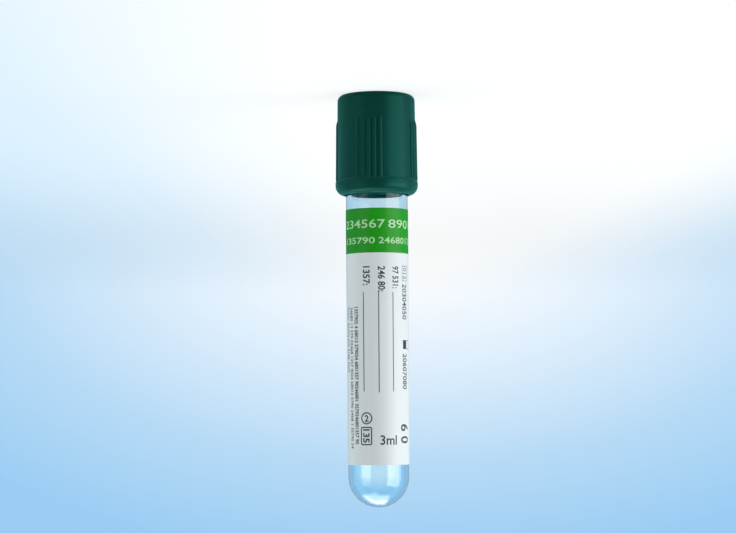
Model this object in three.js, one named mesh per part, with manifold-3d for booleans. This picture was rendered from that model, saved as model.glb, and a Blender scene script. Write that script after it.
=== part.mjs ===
// Evacuated blood collection tube, 13 x 75 mm: a clear round-bottom tube with a wrap label, closed by a rubber
// stopper that sits inside a moulded safety cap. Millimetres. Each piece is drawn with its cap end up, its axis on
// +Z, its lowest end at height 0 and its front facing -Y. The assembly is turned over at the end, onto its cap.
import * as THREE from "three";
import { mergeVertices } from "three/addons/utils/BufferGeometryUtils.js";
import Module from "manifold-3d";

// --- Driving dimensions ---
const FLATS = 48; // round each turned surface; each flat touches the true circle
const ARC_TOLERANCE = 0.02; // how far the chords of a rounded profile may lie inside its true arc

// Tube
const TUBE_LENGTH = 75;
const TUBE_RIM_RADIUS = 6.5;
const TUBE_DRAFT_DEG = 0.14;
const TUBE_WALL = 1;
const TUBE_RIM_ROUND = 0.35;

// Stopper
const FLANGE_OVERHANG = 0.7; // beyond the tube's rim
const FLANGE_THICKNESS = 4;
const FLANGE_ROUND = 0.4;
const PLUG_LENGTH = 9.9; // from the flange to the nose
const PLUG_NOSE_ROUND = 0.7;
const RECESS_RADIUS = 3; // of the hollow in the plug's nose
const RECESS_DEPTH = 6;
const RECESS_ROUND = 1.2;
const DIMPLE_RADIUS = 2.9; // where the needle goes in
const DIMPLE_DEPTH = 0.8;

// Cap
const CAP_HEIGHT = 21.2;
const CAP_WALL = 0.84; // at the top, round the stopper's flange
const CAP_DRAFT_DEG = 0.6;
const CAP_CORNER_ROUND = 1.3;
const CAP_TOP_THICKNESS = 1.3;
const CAP_OVERLAP = 9.7; // from the tube's rim down to the cap's lower edge
const LIP_OVERHANG = 0.53; // beyond the cap's top
const LIP_ROUND = 2;
const LIP_BAND = 0.5; // straight part of the lip, above its round
const LIP_SHOULDER_ROUND = 0.8;
const WELL_MOUTH_RADIUS = 4.3;
const WELL_MOUTH_CHAMFER = 0.5;
const WELL_FLOOR_RADIUS = 3.9;
const COLLAR_WALL = 0.9; // of the ring round the well, which holds the stopper down

// Grip ribs of the cap
const RIB_GROUPS = 4;
const RIBS_PER_GROUP = 5;
const RIB_PITCH_DEG = 8.57;
const FRONT_GROUP_DEG = -11.4; // middle of the front group, measured from the front, to the left
const RIB_HEIGHT = 0.25;
const RIB_ROOT = 0.1; // how far a rib is let into the wall
const RIB_WIDTH = 0.8;
const RIB_CREST_WIDTH = 0.5;
const RIB_LENGTH = 13.1;
const RIB_RAMP = 1.4; // length of the slope at a rib's upper end
const RIB_FOOT_RAMP = 0.5; // and at its lower end, which runs into the lip
const RIB_TOP_BELOW_CAP_TOP = 5.35;

// Label
const LABEL_WIDTH = 36; // round the tube
const LABEL_LENGTH = 53.25;
const LABEL_ABOVE_DOME = 8.9; // from the lowest point of the dome
const LABEL_THICKNESS = 0.07;
const BAND_LENGTH = 9.33; // of the coloured band at the label's upper end

// Clearances
const PLUG_CLEARANCE = 0.06; // radial, plug to bore
const SKIRT_CLEARANCE = 0.4; // radial, cap to tube
const POCKET_CLEARANCE = 0.1; // radial, flange to its pocket in the cap
const SEAT_GAP = 0.1; // axial, between two faces that seat on each other
const GLUE_GAP = 0.03; // radial, label to tube

// Colours
const CLEAR_PLASTIC = 0xcfe6f5;
const DARK_GREEN_RUBBER = 0x0b3a30;
const DARK_GREEN_PLASTIC = 0x0f4a3c;
const LABEL_WHITE = 0xeef3f5;
const BAND_GREEN = 0x2f9a28;

// --- Worked out from them ---
const { degToRad, radToDeg } = THREE.MathUtils;
const TUBE_TAPER = Math.tan(degToRad(TUBE_DRAFT_DEG));
const CAP_TAPER = Math.tan(degToRad(CAP_DRAFT_DEG));
// The dome is the half ball that the tapered wall runs into, so its radius is also the height of its centre.
const DOME_RADIUS = (TUBE_RIM_RADIUS - TUBE_LENGTH * TUBE_TAPER) / (1 - TUBE_TAPER);
const FLANGE_RADIUS = TUBE_RIM_RADIUS + FLANGE_OVERHANG;
const CAP_TOP_RADIUS = FLANGE_RADIUS + POCKET_CLEARANCE + CAP_WALL;
const LIP_RADIUS = CAP_TOP_RADIUS + LIP_OVERHANG;
const NOSE_HEIGHT = TUBE_LENGTH + SEAT_GAP - PLUG_LENGTH;
const CAP_BASE = TUBE_LENGTH - CAP_OVERLAP;

const tubeRadiusAt = (height) => TUBE_RIM_RADIUS - (TUBE_LENGTH - height) * TUBE_TAPER;
const capRadiusAt = (height) => CAP_TOP_RADIUS + (CAP_HEIGHT - height) * CAP_TAPER;

// --- Turning and joining ---
const wasm = await Module();
wasm.setup();

const at = (radius, height) => new THREE.Vector2(radius, height);

// Points of a round about (radius, height); 0 degrees points outwards and 90 degrees up.
function arc(radius, height, round, fromDeg, toDeg) {
  const stepDeg = 2 * radToDeg(Math.acos(1 - ARC_TOLERANCE / round));
  const steps = Math.ceil(Math.abs(toDeg - fromDeg) / stepDeg);
  return Array.from({ length: steps + 1 }, (_, i) => {
    const angle = degToRad(fromDeg + ((toDeg - fromDeg) * i) / steps);
    return at(radius + round * Math.cos(angle), height + round * Math.sin(angle));
  });
}

// Turns a half profile about +Z, with one flat facing the front and one the back.
function turned(profile) {
  const halfFlat = Math.PI / FLATS;
  const widened = profile.map((p) => at(p.x / Math.cos(halfFlat), p.y));
  const points = widened.filter((p, i) => i === 0 || p.distanceTo(widened[i - 1]) > 1e-3);
  return new THREE.LatheGeometry(points, FLATS, halfFlat).rotateX(Math.PI / 2);
}

function toSolid(geometry) {
  const bare = geometry.clone().deleteAttribute("normal").deleteAttribute("uv");
  const merged = mergeVertices(bare, 1e-4);
  return new wasm.Manifold(
    new wasm.Mesh({
      numProp: 3,
      vertProperties: merged.attributes.position.array,
      triVerts: new Uint32Array(merged.index.array),
    }),
  );
}

function toGeometry(solid) {
  const mesh = solid.getMesh();
  const geometry = new THREE.BufferGeometry();
  geometry.setAttribute("position", new THREE.BufferAttribute(mesh.vertProperties, 3));
  geometry.setIndex(new THREE.BufferAttribute(mesh.triVerts, 1));
  return geometry;
}

// --- Tube: one injection moulded piece with a half-ball end, tapered for its mould, and a rounded rim ---
function tubeGeometry() {
  const rimHeight = TUBE_LENGTH - TUBE_RIM_ROUND;
  const boreRimRadius = TUBE_RIM_RADIUS - TUBE_WALL;
  return turned([
    ...arc(0, DOME_RADIUS, DOME_RADIUS, -90, 0),
    ...arc(TUBE_RIM_RADIUS - TUBE_RIM_ROUND, rimHeight, TUBE_RIM_ROUND, 0, 90),
    ...arc(boreRimRadius + TUBE_RIM_ROUND, rimHeight, TUBE_RIM_ROUND, 90, 180),
    ...arc(0, DOME_RADIUS, DOME_RADIUS - TUBE_WALL, 0, -90),
  ]);
}

// --- Stopper: moulded rubber, a hollow-nosed plug below a flange that seats on the tube's rim ---
function stopperGeometry() {
  const plugRadius = tubeRadiusAt(NOSE_HEIGHT) - TUBE_WALL - PLUG_CLEARANCE;
  const flangeMiddle = FLANGE_RADIUS - FLANGE_ROUND;
  const top = PLUG_LENGTH + FLANGE_THICKNESS;
  return turned([
    at(0, RECESS_DEPTH),
    ...arc(RECESS_RADIUS - RECESS_ROUND, RECESS_DEPTH - RECESS_ROUND, RECESS_ROUND, 90, 0),
    at(RECESS_RADIUS, 0),
    ...arc(plugRadius - PLUG_NOSE_ROUND, PLUG_NOSE_ROUND, PLUG_NOSE_ROUND, -90, 0),
    at(plugRadius, PLUG_LENGTH),
    ...arc(flangeMiddle, PLUG_LENGTH + FLANGE_ROUND, FLANGE_ROUND, -90, 0),
    ...arc(flangeMiddle, top - FLANGE_ROUND, FLANGE_ROUND, 0, 90),
    at(DIMPLE_RADIUS + DIMPLE_DEPTH, top),
    at(DIMPLE_RADIUS, top - DIMPLE_DEPTH),
    at(0, top - DIMPLE_DEPTH),
  ]);
}

// --- Cap: a moulded shell with a rounded lip, grip ribs, and a well whose collar holds the stopper down ---
function capShell() {
  const lipMiddle = LIP_RADIUS - LIP_ROUND;
  const mouth = tubeRadiusAt(CAP_BASE) + SKIRT_CLEARANCE;
  const lipInnerDeg = -radToDeg(Math.acos((mouth - lipMiddle) / LIP_ROUND));
  const lipTop = LIP_ROUND + LIP_BAND;
  const shoulderMiddle = LIP_RADIUS - LIP_SHOULDER_ROUND;
  const shoulderDeg = radToDeg(Math.acos((capRadiusAt(lipTop) - shoulderMiddle) / LIP_SHOULDER_ROUND));
  const cornerHeight = CAP_HEIGHT - CAP_CORNER_ROUND;
  const cornerMiddle = capRadiusAt(cornerHeight) - CAP_CORNER_ROUND;
  const pocketRadius = FLANGE_RADIUS + POCKET_CLEARANCE;
  const collarRadius = WELL_MOUTH_RADIUS + COLLAR_WALL;
  const collarHeight = CAP_OVERLAP + SEAT_GAP + FLANGE_THICKNESS + SEAT_GAP;
  const ceiling = CAP_HEIGHT - CAP_TOP_THICKNESS;
  const profile = [
    ...arc(lipMiddle, LIP_ROUND, LIP_ROUND, lipInnerDeg, 0),
    ...arc(shoulderMiddle, lipTop, LIP_SHOULDER_ROUND, 0, shoulderDeg),
    ...arc(cornerMiddle, cornerHeight, CAP_CORNER_ROUND, 0, 90),
    at(WELL_MOUTH_RADIUS + WELL_MOUTH_CHAMFER, CAP_HEIGHT),
    at(WELL_MOUTH_RADIUS, CAP_HEIGHT - WELL_MOUTH_CHAMFER),
    at(WELL_FLOOR_RADIUS, collarHeight),
    at(collarRadius, collarHeight),
    at(collarRadius, ceiling),
    at(pocketRadius, ceiling),
    at(pocketRadius, CAP_OVERLAP),
    at(mouth, CAP_OVERLAP),
  ];
  return turned([...profile, profile[0]]);
}

// A bar along the cap's wall, which leans with its draft. Its sides and ends slope up to its crest.
function ribGeometry(turnDeg) {
  const middle = CAP_HEIGHT - RIB_TOP_BELOW_CAP_TOP - RIB_LENGTH / 2;
  const bar = new THREE.BoxGeometry(RIB_WIDTH, RIB_LENGTH, RIB_ROOT + RIB_HEIGHT);
  const corners = bar.getAttribute("position");
  for (let i = 0; i < corners.count; i++) {
    if (corners.getZ(i) > 0) {
      const upper = corners.getY(i) > 0;
      corners.setX(i, (Math.sign(corners.getX(i)) * RIB_CREST_WIDTH) / 2);
      corners.setY(i, upper ? RIB_LENGTH / 2 - RIB_RAMP : RIB_FOOT_RAMP - RIB_LENGTH / 2);
    }
  }
  bar.translate(0, 0, (RIB_HEIGHT - RIB_ROOT) / 2);
  bar.rotateX(Math.PI / 2 - degToRad(CAP_DRAFT_DEG));
  bar.translate(0, -capRadiusAt(middle), middle);
  return bar.rotateZ(degToRad(turnDeg));
}

function capGeometry() {
  let cap = toSolid(capShell());
  for (let group = 0; group < RIB_GROUPS; group++) {
    for (let i = 0; i < RIBS_PER_GROUP; i++) {
      const inGroupDeg = (i - (RIBS_PER_GROUP - 1) / 2) * RIB_PITCH_DEG;
      const turnDeg = FRONT_GROUP_DEG + (group * 360) / RIB_GROUPS + inGroupDeg;
      cap = cap.add(toSolid(ribGeometry(turnDeg)));
    }
  }
  return toGeometry(cap);
}

// --- Label: one printed strip wrapped round the tube, its two ends apart at the back ---
// It is drawn two steps high, its lower step white and its upper step the coloured band.
function labelGeometry() {
  const arcPoints = 21;
  const wrap = LABEL_WIDTH / TUBE_RIM_RADIUS;
  const toVertex = 1 / Math.cos(wrap / (4 * arcPoints));
  const inner = (TUBE_RIM_RADIUS + GLUE_GAP) * toVertex;
  const outer = (TUBE_RIM_RADIUS + GLUE_GAP + LABEL_THICKNESS) * toVertex;
  const [start, end] = [-(Math.PI + wrap) / 2, (wrap - Math.PI) / 2];
  const section = new THREE.Shape();
  section.absarc(0, 0, outer, start, end, false);
  section.absarc(0, 0, inner, end, start, true);
  const strip = new THREE.ExtrudeGeometry(section, {
    depth: 2,
    steps: 2,
    bevelEnabled: false,
    curveSegments: arcPoints,
  });
  const heights = [0, LABEL_LENGTH - BAND_LENGTH, LABEL_LENGTH];
  const inks = [new THREE.Color(LABEL_WHITE), new THREE.Color(BAND_GREEN)];
  const position = strip.getAttribute("position");
  const colors = [];
  for (let corner = 0; corner < position.count; corner += 3) {
    const steps = [0, 1, 2].map((i) => Math.round(position.getZ(corner + i)));
    const ink = inks[Math.min(...steps) > 0 ? 1 : 0];
    steps.forEach((step, i) => {
      const height = heights[step];
      const narrowing = tubeRadiusAt(LABEL_ABOVE_DOME + height) / TUBE_RIM_RADIUS;
      const [x, y] = [position.getX(corner + i), position.getY(corner + i)];
      position.setXYZ(corner + i, x * narrowing, y * narrowing, height);
      colors.push(...ink.toArray());
    });
  }
  strip.setAttribute("color", new THREE.Float32BufferAttribute(colors, 3));
  strip.computeVertexNormals();
  return strip;
}

// --- Assembly ---
function piece(name, geometry, height, look) {
  const mesh = new THREE.Mesh(geometry, new THREE.MeshStandardMaterial(look));
  mesh.name = name;
  mesh.position.z = height;
  return mesh;
}

const clear = { color: CLEAR_PLASTIC, roughness: 0.05, metalness: 0, transparent: true, opacity: 0.35 };
const rubber = { color: DARK_GREEN_RUBBER, roughness: 0.6, metalness: 0 };
const moulded = { color: DARK_GREEN_PLASTIC, roughness: 0.35, metalness: 0, flatShading: true };
const printed = { vertexColors: true, roughness: 0.45, metalness: 0 };

const closure = new THREE.Group();
closure.add(piece("stopper", stopperGeometry(), NOSE_HEIGHT, rubber));
closure.add(piece("cap", capGeometry(), CAP_BASE, moulded));

const capUp = new THREE.Group();
capUp.add(piece("tube", tubeGeometry(), 0, clear));
capUp.add(piece("label", labelGeometry(), LABEL_ABOVE_DOME, printed));
capUp.add(closure);

// The round tube rolls when it lies and can't stand on its dome, so it stands upside down, on the flat ring round
// the mouth of the cap's well. It is turned about the front-to-back axis, which leaves its front facing -Y.
capUp.rotation.y = Math.PI;
capUp.position.z = CAP_BASE + CAP_HEIGHT;

const standing = new THREE.Group();
standing.add(capUp);

export default standing;
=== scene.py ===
import math

import bmesh
import bpy
from mathutils import Matrix, Vector


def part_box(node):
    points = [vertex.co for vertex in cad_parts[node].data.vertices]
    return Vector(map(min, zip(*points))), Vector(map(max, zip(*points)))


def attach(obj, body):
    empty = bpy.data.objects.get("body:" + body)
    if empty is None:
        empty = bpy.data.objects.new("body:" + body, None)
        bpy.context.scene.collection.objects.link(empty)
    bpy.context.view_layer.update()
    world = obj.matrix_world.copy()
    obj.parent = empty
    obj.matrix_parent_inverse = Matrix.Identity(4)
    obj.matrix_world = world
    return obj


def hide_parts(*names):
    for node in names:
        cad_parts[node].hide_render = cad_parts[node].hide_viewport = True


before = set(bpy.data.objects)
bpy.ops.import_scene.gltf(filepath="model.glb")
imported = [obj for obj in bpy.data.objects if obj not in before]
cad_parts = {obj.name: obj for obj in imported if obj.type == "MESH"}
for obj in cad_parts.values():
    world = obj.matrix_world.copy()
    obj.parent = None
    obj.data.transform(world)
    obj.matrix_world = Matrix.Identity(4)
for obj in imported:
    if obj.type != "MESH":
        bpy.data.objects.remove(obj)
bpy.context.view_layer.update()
scene = bpy.context.scene
scene.view_settings.view_transform = "Standard"


# --- Camera ---
# A long lens in front of the label, a little below the dome. The tube stands on its cap, and the camera is turned
# upside down with it, so that the cap comes out on top.
CAMERA_DISTANCE = 0.451
CAMERA_HEIGHT = 0.0669
CAMERA_LENS = 105.2
CAMERA_PITCH_DEG = 3.90  # towards the floor
CAMERA_YAW_DEG = 0.248
CAMERA_ROLL_DEG = -0.41

camera = bpy.data.objects.new("camera", bpy.data.cameras.new("camera"))
camera.data.lens = CAMERA_LENS
camera.matrix_world = (
    Matrix.Translation((0, -CAMERA_DISTANCE, CAMERA_HEIGHT))
    @ Matrix.Rotation(math.pi / 2, 4, "X")
    @ Matrix.Rotation(math.pi, 4, "Z")
    @ Matrix.Rotation(math.radians(CAMERA_YAW_DEG), 4, "Y")
    @ Matrix.Rotation(math.radians(CAMERA_PITCH_DEG), 4, "X")
    @ Matrix.Rotation(math.radians(CAMERA_ROLL_DEG), 4, "Z")
)
scene.collection.objects.link(camera)
scene.camera = camera


# --- Tube ---
# Clear PET plastic, injection moulded in one piece: a wall with a slight draft that runs into a half-ball end,
# and a rounded rim. All pieces are drawn in millimetres with the cap end up, and then stood on the cap.
MM = 0.001
TUBE_WALL = 1.0
TUBE_DRAFT_DEG = 0.14
TUBE_RIM_ROUND = 0.35
DOME_STEPS = 40
ROUND_STEPS = 10  # in a small round
TURN_STEPS = 256
PET_TINT = (0.835, 0.93, 0.95)
PET_SHADOW_TINT = (0.9, 0.96, 0.98)

tube_low, tube_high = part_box("tube")
tube_length = (tube_high.z - tube_low.z) / MM
rim_radius = tube_high.x / MM
tube_taper = math.tan(math.radians(TUBE_DRAFT_DEG))
dome_radius = (rim_radius - tube_length * tube_taper) / (1 - tube_taper)
onto_cap = (
    Matrix.Translation((0, 0, tube_high.z))
    @ Matrix.Rotation(math.pi, 4, "Y")
    @ Matrix.Scale(MM, 4)
)


def tube_radius_at(height):
    return rim_radius - (tube_length - height) * tube_taper


def height_in_tube(z):
    """Millimetres above the dome's lowest point, with the cap end up, of a height in the frame."""
    return (tube_high.z - z) / MM


def arc(radius, height, bend, start_deg, end_deg, steps=ROUND_STEPS):
    """Points of a round about (radius, height); 0 degrees points outwards and 90 degrees to the cap end."""
    turns = [math.radians(start_deg + (end_deg - start_deg) * i / steps) for i in range(steps + 1)]
    return [(radius + bend * math.cos(turn), height + bend * math.sin(turn)) for turn in turns]


def turned(outline, steps=TURN_STEPS):
    """The outline, as (radius, height) points, turned once round the tube's axis."""
    shape = bmesh.new()
    corners = [shape.verts.new((radius, 0, height)) for radius, height in outline]
    sides = [shape.edges.new(ends) for ends in zip(corners, corners[1:])]
    bmesh.ops.spin(
        shape, geom=corners + sides, cent=(0, 0, 0), axis=(0, 0, 1), angle=math.tau, steps=steps, use_merge=True
    )
    bmesh.ops.remove_doubles(shape, verts=shape.verts, dist=1e-4)
    bmesh.ops.recalc_face_normals(shape, faces=shape.faces)
    return shape


def stood_on_cap(name, shape, finish, sharp_deg=40):
    """The finished piece: its shape turned over and made metres, shaded smooth between its sharp edges."""
    bmesh.ops.transform(shape, matrix=onto_cap, verts=shape.verts)
    mesh = bpy.data.meshes.new(name)
    shape.to_mesh(mesh)
    shape.free()
    mesh.shade_smooth()
    mesh.set_sharp_from_angle(angle=math.radians(sharp_deg))
    mesh.materials.append(finish.owner)
    made = bpy.data.objects.new(name, mesh)
    scene.collection.objects.link(made)
    made.modifiers.new("even_normals", "WEIGHTED_NORMAL").keep_sharp = True
    return made


class Level:
    """A value that changes over a surface. Sums on it add Math nodes to its finish."""

    def __init__(self, finish, socket):
        self.finish = finish
        self.socket = socket

    def __add__(self, other):
        return self.finish.sum("ADD", self, other)

    def __sub__(self, other):
        return self.finish.sum("SUBTRACT", self, other)

    def __rsub__(self, other):
        return self.finish.sum("SUBTRACT", other, self)

    def __mul__(self, other):
        return self.finish.sum("MULTIPLY", self, other)

    def __gt__(self, other):
        return self.finish.sum("GREATER_THAN", self, other)

    __radd__ = __add__
    __rmul__ = __mul__


class Finish:
    """The nodes of a material, of the world or of a lamp."""

    OUTPUTS = {
        bpy.types.Material: "ShaderNodeOutputMaterial",
        bpy.types.World: "ShaderNodeOutputWorld",
        bpy.types.AreaLight: "ShaderNodeOutputLight",
    }

    def __init__(self, owner):
        owner.use_nodes = True
        self.owner = owner
        self.tree = owner.node_tree
        self.tree.nodes.clear()

    def node(self, kind, output, settings=None, **sockets):
        """Adds a node and gives one of its outputs. A socket is named with _ for a space."""
        made = self.tree.nodes.new(kind)
        for setting, value in (settings or {}).items():
            if setting == "stops":
                for stop, colour in zip(made.color_ramp.elements, value[:2]):
                    stop.position, stop.color = colour[0], (*colour[1], 1)
                for position, colour in value[2:]:
                    made.color_ramp.elements.new(position).color = (*colour, 1)
            else:
                setattr(made, setting, value)
        for name, value in sockets.items():
            names = (name, name.replace("_", " "))
            socket = next(s for s in made.inputs if s.identifier in names or s.name in names)
            if isinstance(value, Level):
                self.tree.links.new(value.socket, socket)
            else:
                socket.default_value = value
        return Level(self, next(s for s in made.outputs if output in (s.identifier, s.name)))

    def sum(self, operation, first, second):
        return self.node("ShaderNodeMath", "Value", {"operation": operation}, Value=first, Value_001=second)

    def blend(self, share, first, second):
        """Colour first where share is 0, and second where it is 1."""
        return self.node(
            "ShaderNodeMix",
            "Result_Color",
            {"data_type": "RGBA"},
            Factor_Float=share,
            A_Color=first,
            B_Color=second,
        )

    def grain(self, scale, detail=3, stretch=(1, 1, 1), roughness=0.5):
        """Noise from 0 to 1 in the object's own coordinates; scale is in cells for each metre."""
        place = self.node("ShaderNodeTexCoord", "Object")
        place = self.node("ShaderNodeMapping", "Vector", Vector=place, Scale=stretch)
        return self.node(
            "ShaderNodeTexNoise", "Fac", Vector=place, Scale=scale, Detail=detail, Roughness=roughness
        )

    def shader(self, **sockets):
        return self.node("ShaderNodeBsdfPrincipled", "BSDF", **sockets)

    def surface(self, shader):
        output = self.tree.nodes.new(self.OUTPUTS[type(self.owner)])
        self.tree.links.new(shader.socket, output.inputs["Surface"])
        return self


def clear_pet():
    """Clear, glossy and faintly blue, with the very slight waves that the flow in the mould leaves."""
    pet = Finish(bpy.data.materials.new("clear_pet"))
    waves = pet.grain(110, detail=1, stretch=(1, 1, 0.2))
    handling = pet.grain(900, detail=4)
    plastic = pet.shader(
        Base_Color=(*PET_TINT, 1),
        Roughness=0.012 + 0.02 * handling,
        IOR=1.57,
        Transmission_Weight=1.0,
        Normal=pet.node("ShaderNodeBump", "Normal", Height=waves, Strength=0.25, Distance=0.00004),
    )
    # Lamps shine through it, as they do through a thin clear wall.
    passing = pet.node("ShaderNodeBsdfTransparent", "BSDF", Color=(*PET_SHADOW_TINT, 1))
    to_lamp = pet.node("ShaderNodeLightPath", "Is Shadow Ray")
    return pet.surface(
        pet.node("ShaderNodeMixShader", "Shader", Fac=to_lamp, Shader=plastic, Shader_001=passing)
    )


bore_rim = rim_radius - TUBE_WALL + TUBE_RIM_ROUND
rim_middle = tube_length - TUBE_RIM_ROUND
tube_shape = turned(
    arc(0, dome_radius, dome_radius, -90, 0, DOME_STEPS)
    + arc(rim_radius - TUBE_RIM_ROUND, rim_middle, TUBE_RIM_ROUND, 0, 90)
    + arc(bore_rim, rim_middle, TUBE_RIM_ROUND, 90, 180)
    + arc(0, dome_radius, dome_radius - TUBE_WALL, 0, -90, DOME_STEPS)
)
tube = stood_on_cap("clear_tube", tube_shape, clear_pet())
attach(tube, "tube")
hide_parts("tube")


# --- Stopper ---
# Dark green butyl rubber, moulded: a plug with a hollow nose, below a flange that seats on the tube's rim and
# has a dimple on top where the needle goes in. It is pushed into the bore and held by the cap.
PLUG_LENGTH = 9.9
PLUG_CLEARANCE = 0.06
PLUG_NOSE_ROUND = 0.7
FLANGE_ROUND = 0.4
RECESS_RADIUS = 3.0
RECESS_DEPTH = 6.0
RECESS_ROUND = 1.2
RECESS_MOUTH_ROUND = 0.3
DIMPLE_RADIUS = 2.9
DIMPLE_DEPTH = 0.8
DIMPLE_ROUND = 0.25
RUBBER_GREEN = (0.0015, 0.105, 0.08)
BLOOM_GREEN = (0.005, 0.125, 0.096)


def green_rubber():
    """Satin rubber: a fine grain from the mould, with a dry bloom that is uneven."""
    rubber = Finish(bpy.data.materials.new("green_rubber"))
    grain = rubber.grain(5200, detail=5, roughness=0.6)
    bloom = rubber.grain(420, detail=3)
    return rubber.surface(
        rubber.shader(
            Base_Color=rubber.blend(bloom * 0.5, (*RUBBER_GREEN, 1), (*BLOOM_GREEN, 1)),
            Roughness=0.6 + 0.2 * bloom,
            Specular_IOR_Level=0.15,
            Normal=rubber.node("ShaderNodeBump", "Normal", Height=grain, Strength=0.35, Distance=0.00003),
        )
    )


stopper_low, stopper_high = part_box("stopper")
flange_radius = stopper_high.x / MM
stopper_length = (stopper_high.z - stopper_low.z) / MM
nose_height = height_in_tube(stopper_high.z)
plug_radius = tube_radius_at(nose_height) - TUBE_WALL - PLUG_CLEARANCE
flange_middle = flange_radius - FLANGE_ROUND
dimple_mouth = DIMPLE_RADIUS + DIMPLE_DEPTH
stopper_outline = (
    [(0, RECESS_DEPTH)]
    + arc(RECESS_RADIUS - RECESS_ROUND, RECESS_DEPTH - RECESS_ROUND, RECESS_ROUND, 90, 0)
    + arc(RECESS_RADIUS + RECESS_MOUTH_ROUND, RECESS_MOUTH_ROUND, RECESS_MOUTH_ROUND, 180, 270)
    + arc(plug_radius - PLUG_NOSE_ROUND, PLUG_NOSE_ROUND, PLUG_NOSE_ROUND, -90, 0)
    + [(plug_radius, PLUG_LENGTH)]
    + arc(flange_middle, PLUG_LENGTH + FLANGE_ROUND, FLANGE_ROUND, -90, 0)
    + arc(flange_middle, stopper_length - FLANGE_ROUND, FLANGE_ROUND, 0, 90)
    + arc(dimple_mouth + DIMPLE_ROUND, stopper_length - DIMPLE_ROUND, DIMPLE_ROUND, 90, 135)
    + arc(DIMPLE_RADIUS - DIMPLE_ROUND, stopper_length - DIMPLE_DEPTH + DIMPLE_ROUND, DIMPLE_ROUND, -45, -90)
    + [(0, stopper_length - DIMPLE_DEPTH)]
)
stopper_shape = turned([(radius, nose_height + height) for radius, height in stopper_outline])
stopper = stood_on_cap("rubber_stopper", stopper_shape, green_rubber())
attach(stopper, "stopper")
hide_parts("stopper")


# --- Cap ---
# Dark green moulded plastic: a skirt over the tube's rim with a rounded lip, four groups of five grip ribs, and
# a well in the top whose collar holds the stopper down. It snaps over the stopper's flange.
CAP_TOP_RADIUS = 8.14
CAP_DRAFT_DEG = 0.6
CAP_CORNER_ROUND = 1.3
CAP_TOP_THICKNESS = 1.3
CAP_OVERLAP = 9.7  # from the tube's rim down to the lip's lower edge
LIP_ROUND = 2.0
LIP_BAND = 0.5
LIP_SHOULDER_ROUND = 0.8
SKIRT_CLEARANCE = 0.4
POCKET_CLEARANCE = 0.1
SEAT_GAP = 0.1
WELL_MOUTH_RADIUS = 4.3
WELL_MOUTH_ROUND = 0.5
WELL_FLOOR_RADIUS = 3.9
COLLAR_WALL = 0.9
RIB_TOP_BELOW_CAP_TOP = 5.35
RIB_LENGTH = 13.1
RIB_RAMP = 1.4  # how long a rib's upper end takes to rise
RIB_FOOT_RAMP = 0.5
RIB_HEIGHT = 0.3
RIB_GROUPS = 4
RIBS_PER_GROUP = 5
RIB_PITCHES = 42  # that would go round the whole cap
RIB_WIDTH = 0.58  # of a pitch
STEPS_PER_PITCH = 12
LIP_STEPS = 24
CAP_CORNER_STEPS = 20
FRONT_GROUP_DEG = -11.4
CAP_GREEN = (0.0025, 0.041, 0.033)
CLOUD_GREEN = (0.004, 0.049, 0.039)
CAP_GLOSS_TINT = (0.12, 1.0, 0.72)
CAP_SHEEN_TINT = (0.05, 1.0, 0.75)


def moulded_green():
    """Semi-gloss plastic: the mould's fine matt grain, and a colour that is cloudy by a few hundredths."""
    plastic = Finish(bpy.data.materials.new("moulded_green"))
    grain = plastic.grain(7000, detail=3, roughness=0.55)
    cloud = plastic.grain(240, detail=2, stretch=(1, 1, 0.5))
    return plastic.surface(
        plastic.shader(
            Base_Color=plastic.blend(cloud, (*CAP_GREEN, 1), (*CLOUD_GREEN, 1)),
            Roughness=0.33 + 0.08 * cloud,
            IOR=1.5,
            Specular_Tint=(*CAP_GLOSS_TINT, 1),
            Sheen_Weight=0.3,
            Sheen_Roughness=0.5,
            Sheen_Tint=(*CAP_SHEEN_TINT, 1),
            Normal=plastic.node("ShaderNodeBump", "Normal", Height=grain, Strength=0.2, Distance=0.00002),
        )
    )


cap_low, cap_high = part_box("cap")
cap_height = (cap_high.z - cap_low.z) / MM
cap_base = height_in_tube(cap_high.z)
lip_radius = cap_high.x / MM
cap_taper = math.tan(math.radians(CAP_DRAFT_DEG))


def cap_radius_at(height):
    return CAP_TOP_RADIUS + (cap_height - height) * cap_taper


def cap_outline():
    """Half the cap's section, from the inner foot of its lip round the outside and back through the well."""
    lip_middle = lip_radius - LIP_ROUND
    mouth = tube_radius_at(cap_base) + SKIRT_CLEARANCE
    lip_inner_deg = -math.degrees(math.acos((mouth - lip_middle) / LIP_ROUND))
    lip_top = LIP_ROUND + LIP_BAND
    shoulder_middle = lip_radius - LIP_SHOULDER_ROUND
    shoulder_deg = math.degrees(math.acos((cap_radius_at(lip_top) - shoulder_middle) / LIP_SHOULDER_ROUND))
    corner_height = cap_height - CAP_CORNER_ROUND
    corner_middle = cap_radius_at(corner_height) - CAP_CORNER_ROUND
    pocket = flange_radius + POCKET_CLEARANCE
    collar = WELL_MOUTH_RADIUS + COLLAR_WALL
    collar_height = CAP_OVERLAP + SEAT_GAP + stopper_length - PLUG_LENGTH + SEAT_GAP
    ceiling = cap_height - CAP_TOP_THICKNESS
    points = (
        arc(lip_middle, LIP_ROUND, LIP_ROUND, lip_inner_deg, 0, LIP_STEPS)
        + arc(shoulder_middle, lip_top, LIP_SHOULDER_ROUND, 0, shoulder_deg)
        + [(cap_radius_at(height), height) for height in rib_rows]
        + arc(corner_middle, corner_height, CAP_CORNER_ROUND, 0, 90, CAP_CORNER_STEPS)
        + arc(WELL_MOUTH_RADIUS + WELL_MOUTH_ROUND, cap_height - WELL_MOUTH_ROUND, WELL_MOUTH_ROUND, 90, 180)
        + [(WELL_FLOOR_RADIUS, collar_height), (collar, collar_height), (collar, ceiling)]
        + [(pocket, ceiling), (pocket, CAP_OVERLAP), (mouth, CAP_OVERLAP)]
    )
    return points + points[:1]


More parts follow.
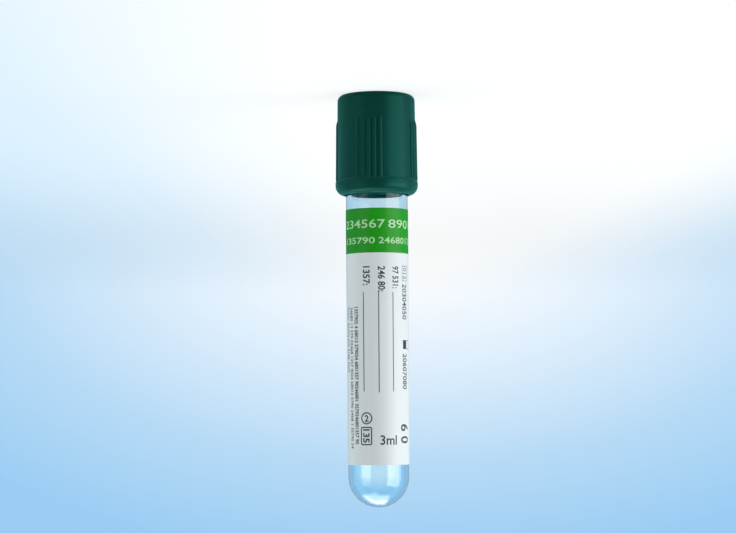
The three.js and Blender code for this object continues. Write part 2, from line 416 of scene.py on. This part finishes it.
def raise_ribs(shape):
    """Swells the wall into half-round ribs that run into the lip and sink at the other end. A rib's middle lies
    on +X."""
    pitch = math.tau / RIB_PITCHES
    for corner in shape.verts:
        outside = corner.co.xy.length > flange_radius + 2 * POCKET_CLEARANCE
        from_end = min((corner.co.z - rib_foot) / RIB_FOOT_RAMP, (rib_top - corner.co.z) / RIB_RAMP, 1)
        if not outside or from_end <= 0:
            continue
        turn = math.atan2(corner.co.y, corner.co.x)
        turn -= math.tau / RIB_GROUPS * round(turn * RIB_GROUPS / math.tau)
        rib = round(turn / pitch)
        across = (turn / pitch - rib) / (RIB_WIDTH / 2)
        if abs(rib) <= RIBS_PER_GROUP // 2 and abs(across) < 1:
            rise = math.sin(math.pi / 2 * from_end) * math.sqrt(1 - across**2)
            crest = cap_radius_at(corner.co.z) + RIB_HEIGHT * rise
            corner.co.xy *= max(1, crest / corner.co.xy.length)


rib_top = cap_height - RIB_TOP_BELOW_CAP_TOP
rib_foot = rib_top - RIB_LENGTH
ramp_steps = [i / ROUND_STEPS for i in range(ROUND_STEPS + 1)]
rib_rows = [rib_foot + RIB_FOOT_RAMP * step for step in ramp_steps]
rib_rows += [rib_top - RIB_RAMP * step for step in reversed(ramp_steps)]
cap_shape = turned(cap_outline(), RIB_PITCHES * STEPS_PER_PITCH)
raise_ribs(cap_shape)
to_front = Matrix.Rotation(math.radians(FRONT_GROUP_DEG - 90), 4, "Z")
bmesh.ops.transform(
    cap_shape, matrix=Matrix.Translation((0, 0, cap_base)) @ to_front, verts=cap_shape.verts
)
cap = stood_on_cap("safety_cap", cap_shape, moulded_green())
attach(cap, "cap")
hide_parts("cap")


# --- Label ---
# One strip of white coated label stock with a printed green band along its upper end. It is glued round the
# tube with its two ends apart at the back, so that what is in the tube can be seen there.
LABEL_WIDTH = 36.0
LABEL_THICKNESS = 0.07
GLUE_GAP = 0.03
BAND_LENGTH = 9.33
LABEL_STEPS = 180
LABEL_WHITE = (0.84, 0.845, 0.845)
MOTTLE_WHITE = (0.855, 0.86, 0.86)
BAND_GREEN = (0.011, 0.33, 0.006)
THIN_BAND_GREEN = (0.016, 0.37, 0.010)
PLACE_ON_LABEL = "place_on_label"

label_low, label_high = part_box("label")
label_foot = height_in_tube(label_high.z)
label_length = (label_high.z - label_low.z) / MM
label_wrap = LABEL_WIDTH / rim_radius


def label_shape():
    """The strip's section, two thin edges and two faces, spun round the tube as far as the label reaches."""
    strip = bmesh.new()
    section = []
    for lift, height in ((0, 0), (LABEL_THICKNESS, 0), (LABEL_THICKNESS, label_length), (0, label_length)):
        radius = tube_radius_at(label_foot + height) + GLUE_GAP + lift
        section.append(strip.verts.new((radius, 0, label_foot + height)))
    sides = [strip.edges.new((section[i - 1], section[i])) for i in range(4)]
    start = Matrix.Rotation(-math.pi / 2 - label_wrap / 2, 4, "Z")
    bmesh.ops.transform(strip, matrix=start, verts=section)
    strip.faces.new(section)
    spun = bmesh.ops.spin(
        strip, geom=section + sides, cent=(0, 0, 0), axis=(0, 0, 1), angle=label_wrap, steps=LABEL_STEPS
    )
    strip.faces.new([part for part in spun["geom_last"] if isinstance(part, bmesh.types.BMVert)])
    bmesh.ops.recalc_face_normals(strip, faces=strip.faces)
    place = strip.loops.layers.uv.new(PLACE_ON_LABEL)
    for face in strip.faces:
        for loop in face.loops:
            corner = loop.vert.co
            across = math.atan2(corner.x, -corner.y) * rim_radius
            loop[place].uv = (across, corner.z - label_foot)
    return strip


def label_stock():
    """White stock with a satin coat, faintly mottled, and the band's ink laid on it a little unevenly."""
    stock = Finish(bpy.data.materials.new("label_stock"))
    place = stock.node("ShaderNodeUVMap", "UV", {"uv_map": PLACE_ON_LABEL})
    height = stock.node("ShaderNodeSeparateXYZ", "Y", Vector=place)
    fibres = stock.node("ShaderNodeTexNoise", "Fac", Vector=place, Scale=2.2, Detail=6, Roughness=0.65)
    mottle = stock.node("ShaderNodeTexNoise", "Fac", Vector=place, Scale=0.35, Detail=2)
    band = height > label_length - BAND_LENGTH
    white = stock.blend(mottle, (*LABEL_WHITE, 1), (*MOTTLE_WHITE, 1))
    green = stock.blend(fibres, (*BAND_GREEN, 1), (*THIN_BAND_GREEN, 1))
    return stock.surface(
        stock.shader(
            Base_Color=stock.blend(band, white, green),
            Roughness=0.36 + 0.10 * mottle - 0.05 * band,
            Specular_IOR_Level=0.3,
            Coat_Weight=0.22,
            Coat_Roughness=0.16,
            Normal=stock.node("ShaderNodeBump", "Normal", Height=fibres, Strength=0.12, Distance=0.00001),
        )
    )


label = stood_on_cap("wrap_label", label_shape(), label_stock())
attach(label, "tube")
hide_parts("label")


# --- Print on the label ---
# Two lines of figures left white in the band, and in black the captions of three ruled lines, small figures at
# the sides, a ring, a frame, a block and the fill volume. Places are in millimetres, across from the label's
# middle and up from its foot. The ink stands a hundredth of a millimetre proud.
INK_DEPTH = 0.006
INK_LIFT = 0.008
INK_SLICE = 0.35  # how far apart the flat print is cut, so that it bends round the tube
RULE_WIDTH = 0.18
THIN_LINE = 0.1
THICK_LINE = 0.25
CAPTION_SIZE = 1.5
CAPTION_START = 41.1
FIGURE_SHARE = 0.729  # of the font's size that a figure is high
PALE_INK = (0.58, 0.83, 0.50)
THIN_PALE_INK = (0.45, 0.76, 0.38)
BLACK_INK = (0.03, 0.035, 0.04)
THIN_BLACK_INK = (0.06, 0.065, 0.07)


def laid_text(sheet, words, size, at, length, weight=0.0, down=False):
    """Adds words to the flat sheet. size is the figures' height, at is where they start on their line, and
    length is how far they reach. weight makes them bolder, and down turns the line to run down the label."""
    text = bpy.data.curves.new("words", "FONT")
    text.body = words
    text.size = size / FIGURE_SHARE
    text.offset = weight
    text.resolution_u = 3
    text.fill_mode = "FRONT"
    writing = bpy.data.objects.new("words", text)
    scene.collection.objects.link(writing)
    bpy.context.view_layer.update()
    mesh = bpy.data.meshes.new_from_object(writing.evaluated_get(bpy.context.evaluated_depsgraph_get()))
    left = min(corner.co.x for corner in mesh.vertices)
    right = max(corner.co.x for corner in mesh.vertices)
    mesh.transform(
        Matrix.Translation((*at, 0))
        @ Matrix.Rotation(-math.pi / 2 if down else 0, 4, "Z")
        @ Matrix.Scale(length / (right - left), 4, (1, 0, 0))
        @ Matrix.Translation((-left, 0, 0))
    )
    sheet.from_mesh(mesh)
    bpy.data.objects.remove(writing)
    bpy.data.curves.remove(text)
    bpy.data.meshes.remove(mesh)


def laid_block(sheet, left, foot, right, top):
    """Adds a filled rectangle."""
    place = Matrix.Translation(((left + right) / 2, (foot + top) / 2, 0))
    size = Matrix.Diagonal(((right - left) / 2, (top - foot) / 2, 1, 1))
    return bmesh.ops.create_grid(sheet, x_segments=1, y_segments=1, size=1, matrix=place @ size)["verts"]


def hollowed(sheet, face, line):
    """Leaves only the face's border, that wide."""
    bmesh.ops.inset_region(sheet, faces=[face], thickness=line, use_boundary=True, use_even_offset=True)
    bmesh.ops.delete(sheet, geom=[face], context="FACES_ONLY")


def laid_ring(sheet, middle, radius, line):
    place = Matrix.Translation((*middle, 0))
    corners = bmesh.ops.create_circle(sheet, cap_ends=True, segments=40, radius=radius, matrix=place)["verts"]
    hollowed(sheet, corners[0].link_faces[0], line)


def laid_frame(sheet, left, foot, right, top, line, bend):
    """Adds the outline of a rectangle with round corners."""
    corners = laid_block(sheet, left, foot, right, top)
    rounded = bmesh.ops.bevel(
        sheet,
        geom=corners,
        offset=bend,
        offset_type="OFFSET",
        segments=5,
        profile=0.5,
        affect="VERTICES",
        material=-1,
    )
    inside = max(rounded["verts"][0].link_faces, key=lambda face: face.calc_area())
    hollowed(sheet, inside, line)


def wrapped_print(name, sheet, finish):
    """Makes the flat sheet a thin layer of ink and bends it round the label."""
    bmesh.ops.remove_doubles(sheet, verts=sheet.verts, dist=1e-5)
    left = min(corner.co.x for corner in sheet.verts)
    right = max(corner.co.x for corner in sheet.verts)
    for cut in range(1, math.ceil((right - left) / INK_SLICE)):
        bmesh.ops.bisect_plane(
            sheet,
            geom=sheet.verts[:] + sheet.edges[:] + sheet.faces[:],
            dist=1e-6,
            plane_co=(left + cut * INK_SLICE, 0, 0),
            plane_no=(1, 0, 0),
        )
    bmesh.ops.dissolve_degenerate(sheet, edges=sheet.edges, dist=1e-4)
    bmesh.ops.recalc_face_normals(sheet, faces=sheet.faces)
    for face in sheet.faces:
        if face.normal.z < 0:
            face.normal_flip()
    bmesh.ops.translate(sheet, verts=sheet.verts, vec=(0, 0, -INK_DEPTH))
    raised = bmesh.ops.extrude_face_region(sheet, geom=sheet.faces[:], use_keep_orig=True)["geom"]
    raised_corners = [part for part in raised if isinstance(part, bmesh.types.BMVert)]
    bmesh.ops.translate(sheet, verts=raised_corners, vec=(0, 0, INK_DEPTH + INK_LIFT))
    bmesh.ops.recalc_face_normals(sheet, faces=sheet.faces)
    for corner in sheet.verts:
        across, height, lift = corner.co
        turn = across / rim_radius
        radius = tube_radius_at(label_foot + height) + GLUE_GAP + LABEL_THICKNESS + lift
        corner.co = (radius * math.sin(turn), -radius * math.cos(turn), label_foot + height)
    return stood_on_cap(name, sheet, finish, sharp_deg=30)


def ink(name, colour, thin_colour):
    """Printing ink: satin, and a little thinner here and there."""
    print_ink = Finish(bpy.data.materials.new(name))
    cover = print_ink.grain(2600, detail=4)
    return print_ink.surface(
        print_ink.shader(
            Base_Color=print_ink.blend(cover, (*colour, 1), (*thin_colour, 1)),
            Roughness=0.4 + 0.15 * cover,
        )
    )


band_figures = bmesh.new()
for words, size, start, line, length in (
    ("1234567", 1.8, -9.7, 49.1, 11.35),
    ("8901", 1.8, 2.35, 49.1, 6.9),
    ("135790", 1.35, -8.3, 45.85, 7.85),
    ("2468013", 1.35, 0.3, 45.85, 8.6),
):
    laid_text(band_figures, words, size, (start, line), length, weight=0.02)
pale_ink = ink("pale_ink", PALE_INK, THIN_PALE_INK)
pale_print = wrapped_print("label_pale_print", band_figures, pale_ink)
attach(pale_print, "tube")

black_figures = bmesh.new()
# Captions and the rules that run on from them.
for words, across, length in (("1357:", -3.05, 3.95), ("246 80:", 0.15, 5.3), ("97 531:", 3.28, 4.6)):
    laid_text(black_figures, words, CAPTION_SIZE, (across, CAPTION_START), length, weight=0.045, down=True)
for across, foot, top in ((-3.03, 15.15, 35.75), (0.22, 14.95, 35.9), (3.33, 15.15, 35.7)):
    laid_block(black_figures, across - RULE_WIDTH / 2, foot, across + RULE_WIDTH / 2, top)
# Two numbers on the print's right, with a framed figure, a block and a frame beside them.
laid_frame(black_figures, 5.87, 38.1, 7.95, 41.3, THIN_LINE, 0.2)
laid_text(black_figures, "012", 1.25, (6.25, 40.9), 2.4, down=True)
laid_text(black_figures, "20304050", 1.65, (5.95, 37.5), 7.4, weight=0.03, down=True)
laid_block(black_figures, 6.07, 23.95, 7.25, 25.8)
laid_frame(black_figures, 7.3, 23.95, 8.6, 25.8, THIN_LINE, 0.15)
laid_text(black_figures, "20607080", 1.6, (6.0, 23.0), 7.4, weight=0.03, down=True)
# Three rows of small figures on its left.
for words, size, across, start, length, weight in (
    ("1357902 4 68013 579024 6801357 90246801 3579246801357 90", 0.95, -5.35, 32.7, 28.4, 0.03),
    ("24680 13 579 02468 1357 9024 68013 5790 2468 1 35790 24", 0.9, -6.85, 32.7, 29.3, 0.01),
    ("97531 86420 975 3186 4209", 0.9, -8.3, 32.8, 13.6, 0.0),
):
    laid_text(black_figures, words, size, (across, start), length, weight=weight, down=True)
# The ring, the frame, the fill volume and two large figures at the foot.
laid_ring(black_figures, (-2.52, 9.64), 1.25, THICK_LINE)
laid_text(black_figures, "2", 1.4, (-2.97, 8.94), 0.9, weight=0.04)
laid_frame(black_figures, -3.88, 4.1, -1.34, 7.88, THICK_LINE, 0.4)
laid_text(black_figures, "135", 1.45, (-3.3, 7.4), 2.8, weight=0.05, down=True)
laid_text(black_figures, "3ml", 2.0, (0.4, 4.2), 3.65, weight=0.04)
for figure, start in (("6", 8.4), ("0", 5.9)):
    laid_text(black_figures, figure, 2.7, (5.3, start), 1.5, weight=0.05, down=True)
black_ink = ink("black_ink", BLACK_INK, THIN_BLACK_INK)
black_print = wrapped_print("label_black_print", black_figures, black_ink)
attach(black_print, "tube")


# --- Floor and backdrop ---
# A plain pale floor that fades out a short way from the tube, and round it a plain backdrop. Both are white in the
# middle and pale blue towards the sides. Mirrors show a dimmer room, which is darkest in front of the tube.
FLOOR_SIZE = 4.0
FADE_START = 0.12
FADE_LENGTH = 0.7
FLOOR_SHADE = 0.35  # the share of the floor's look that shadows can take away
FLOOR_GLOW = 1.18  # how bright the rest of its look is, and how bright through the clear wall
FLOOR_GLOW_THROUGH_WALL = 1.28
FLOOR_BLUER_THROUGH_WALL = 0.12
FLOOR_GREY = (0.80, 0.82, 0.84)
FLOOR_PALE_GREY = (0.83, 0.85, 0.87)
FLOOR_WHITE_SIDE = -0.033  # where across the floor it is whitest
FLOOR_BLUER_BESIDE = 2  # how fast it turns blue from there, sideways and in depth
FLOOR_BLUER_BEHIND = 0.2
FLOOR_STOPS = [
    (0.10, (1.0, 1.0, 1.0)),
    (1.00, (0.40, 0.67, 0.93)),
    (0.14, (0.90, 0.945, 0.99)),
    (0.21, (0.68, 0.84, 0.98)),
    (0.31, (0.56, 0.77, 0.96)),
]
# Seen through the clear wall, the backdrop is painted paler and brighter, and the floor brighter: painted light
# that lightens the glass.
PAINTED_PALER_THROUGH_WALL = 0.3  # the share of the backdrop's blueness taken away where it is seen through the clear wall, a painted light that makes the glass paler
PAINTED_BRIGHTER_THROUGH_WALL = 0.25
ROOM_TINT = (0.77, 0.96, 1.0)
ROOM_BESIDE = 1.95  # how bright the room is straight to the sides, and straight behind
ROOM_BEHIND = 0.8
MIRROR_FRONT = 0.05  # how bright the backdrop is in mirrors, in front of the tube and behind it
MIRROR_BEHIND = 1.0
MIRROR_FRONT_END = -0.3  # where the first ends and the second starts, from -1 in front to 1 behind
MIRROR_BEHIND_START = 0.5
MIRROR_OUTSIDE = 0.35  # the share of that which shows outside the clear wall
WHITE_SIDE = -0.0152  # direction of the backdrop's whitest place
WHITE_RISE = -0.0804
BLUE_SIDE = 0.279  # how far from it the backdrop is blue
BLUE_RISE = 0.147
BLUE_STOP = 0.5  # where that is in the colours below
BACKDROP_STOPS = [
    (0.04, (1.0, 1.0, 1.0)),
    (1.00, (0.31, 0.58, 0.85)),
    (0.1875, (0.753, 0.871, 0.982)),
    (0.354, (0.474, 0.706, 0.922)),
    (BLUE_STOP, (0.330, 0.610, 0.900)),
]


def ray_shares(finish):
    """How the floor or backdrop is seen. Each is 1 or 0: straight by the camera, through the clear wall, and in a
    reflection, which may also be one inside the clear wall."""
    path = "ShaderNodeLightPath"
    reflected = finish.node(path, "Glossy Depth") > 0.5
    return finish.node(path, "Is Camera Ray"), finish.node(path, "Is Transmission Ray"), reflected


def pale_floor():
    ground = Finish(bpy.data.materials.new("pale_floor"))
    place = ground.node("ShaderNodeTexCoord", "Object")
    away = ground.node("ShaderNodeVectorMath", "Value", {"operation": "LENGTH"}, Vector=place)
    fade = ground.node(
        "ShaderNodeMapRange",
        "Result",
        {"interpolation_type": "SMOOTHSTEP"},
        Value=away,
        From_Min=FADE_START,
        From_Max=FADE_START + FADE_LENGTH,
    )
    grain = ground.grain(300, detail=2)
    matt = ground.shader(
        Base_Color=ground.blend(grain, (*FLOOR_GREY, 1), (*FLOOR_PALE_GREY, 1)),
        Roughness=0.9,
        Specular_IOR_Level=0.0,
    )
    straight, through_wall, reflected = ray_shares(ground)
    from_white = ground.node(
        "ShaderNodeMapping",
        "Vector",
        Vector=place,
        Location=(-FLOOR_BLUER_BESIDE * FLOOR_WHITE_SIDE, 0, 0),
        Scale=(FLOOR_BLUER_BESIDE, FLOOR_BLUER_BEHIND, 0),
    )
    blueness = ground.node("ShaderNodeVectorMath", "Value", {"operation": "LENGTH"}, Vector=from_white)
    blueness = blueness + FLOOR_BLUER_THROUGH_WALL * through_wall
    tint = ground.node("ShaderNodeValToRGB", "Color", {"stops": FLOOR_STOPS}, Fac=blueness)
    # Seen through the clear wall, the floor is painted brighter, which lightens the glass.
    glow = FLOOR_GLOW + (FLOOR_GLOW_THROUGH_WALL - FLOOR_GLOW) * through_wall
    bright = ground.node("ShaderNodeEmission", "Emission", Color=tint, Strength=glow)
    polish = ground.node("ShaderNodeBsdfGlossy", "BSDF", Color=(0.5, 0.5, 0.5, 1), Roughness=0.1)
    clear = ground.node("ShaderNodeBsdfTransparent", "BSDF")

    def mixed(share, first, second):
        return ground.node("ShaderNodeMixShader", "Shader", Fac=share, Shader=first, Shader_001=second)

    behind_tube = ground.node("ShaderNodeSeparateXYZ", "Y", Vector=place) > 0
    dim = reflected * (1 - through_wall * behind_tube)
    lit = mixed((straight + through_wall) * (1 - FLOOR_SHADE), matt, bright)
    return ground.surface(mixed(fade, mixed(dim, lit, polish), clear))


floor_sheet = bmesh.new()
bmesh.ops.create_grid(floor_sheet, x_segments=1, y_segments=1, size=FLOOR_SIZE / 2)
floor_mesh = bpy.data.meshes.new("floor")
floor_sheet.to_mesh(floor_mesh)
floor_sheet.free()
floor_mesh.materials.append(pale_floor().owner)
floor = bpy.data.objects.new("floor", floor_mesh)
scene.collection.objects.link(floor)

scene.world = bpy.data.worlds.new("backdrop")
backdrop = Finish(scene.world)
direction = backdrop.node("ShaderNodeTexCoord", "Generated")
from_white = backdrop.node(
    "ShaderNodeMapping",
    "Vector",
    Vector=direction,
    Location=(-WHITE_SIDE / BLUE_SIDE, 0, -WHITE_RISE / BLUE_RISE),
    Scale=(1 / BLUE_SIDE, 0, 1 / BLUE_RISE),
)
blueness = BLUE_STOP * backdrop.node("ShaderNodeVectorMath", "Value", {"operation": "LENGTH"}, Vector=from_white)
sideways = backdrop.node("ShaderNodeSeparateXYZ", "X", Vector=direction)
behind = backdrop.node("ShaderNodeSeparateXYZ", "Y", Vector=direction)
straight, through_wall, reflected = ray_shares(backdrop)


def backdrop_light(colour, strength):
    return backdrop.node("ShaderNodeBackground", "Background", Color=colour, Strength=strength)


def backdrop_mixed(share, first, second):
    return backdrop.node("ShaderNodeMixShader", "Shader", Fac=share, Shader=first, Shader_001=second)


beside = sideways * sideways
room_strength = ROOM_BESIDE * beside * beside + ROOM_BEHIND * (behind > 0) * behind * behind
room_light = backdrop_light((*ROOM_TINT, 1), room_strength)
# Seen through the clear wall, the backdrop is painted paler, which lightens the glass.
blueness = blueness * (1 - PAINTED_PALER_THROUGH_WALL * through_wall)
plain_colour = backdrop.node("ShaderNodeValToRGB", "Color", {"stops": BACKDROP_STOPS}, Fac=blueness)
mirrored = backdrop.node(
    "ShaderNodeMapRange",
    "Result",
    Value=behind,
    From_Min=MIRROR_FRONT_END,
    From_Max=MIRROR_BEHIND_START,
    To_Min=MIRROR_FRONT,
    To_Max=MIRROR_BEHIND,
)
mirror_share = MIRROR_OUTSIDE + (1 - MIRROR_OUTSIDE) * through_wall
mirrored_light = backdrop_light(plain_colour, mirrored * mirror_share)
# Seen through the clear wall, the backdrop is painted brighter, which lightens the glass.
plain_light = backdrop_light(plain_colour, 1.0 + PAINTED_BRIGHTER_THROUGH_WALL * through_wall)
light = backdrop_mixed(straight + through_wall, room_light, plain_light)
backdrop.surface(backdrop_mixed(reflected, light, mirrored_light))


# --- Lamps ---
# Two tall soft boxes that stand beside the tube, the stronger one on the print's right, and a third above the
# dome. The two at the sides show in reflections, but not as white sheets behind the clear wall.
TUBE_FACES = 4  # that a ray passes on its way straight through the tube


def soft_box(name, turn_deg, distance, height, width, tall, radiance):
    """A lamp that faces the tube's axis. turn_deg is measured from the front, to the right of the print."""
    lamp = bpy.data.objects.new(name, bpy.data.lights.new(name, "AREA"))
    lamp.data.shape = "RECTANGLE"
    lamp.data.size = width
    lamp.data.size_y = tall
    lamp.data.energy = radiance * math.pi * width * tall
    turn = math.radians(turn_deg)
    lamp.location = (-distance * math.sin(turn), -distance * math.cos(turn), height)
    aim = Vector((0, 0, min(height, tube_high.z))) - lamp.location
    lamp.rotation_euler = aim.to_track_quat("-Z", "Y").to_euler()
    scene.collection.objects.link(lamp)
    return lamp


def unseen_behind_tube(lamp):
    """Keeps a lamp from showing straight through the tube."""
    light = Finish(lamp.data)
    through_tube = light.node("ShaderNodeLightPath", "Transmission Depth") > TUBE_FACES - 0.5
    reflected = light.node("ShaderNodeLightPath", "Glossy Depth") > 0.5
    light.surface(light.node("ShaderNodeEmission", "Emission", Strength=1 - through_tube * (1 - reflected)))


key = soft_box("key", turn_deg=63.5, distance=0.45, height=0.18, width=0.489, tall=0.35, radiance=2.38)
fill = soft_box("fill", turn_deg=-53, distance=0.45, height=0.18, width=0.31, tall=0.35, radiance=0.75)
soft_box("top", turn_deg=206, distance=0.06, height=0.35, width=0.30, tall=0.30, radiance=2.3)
unseen_behind_tube(key)
unseen_behind_tube(fill)
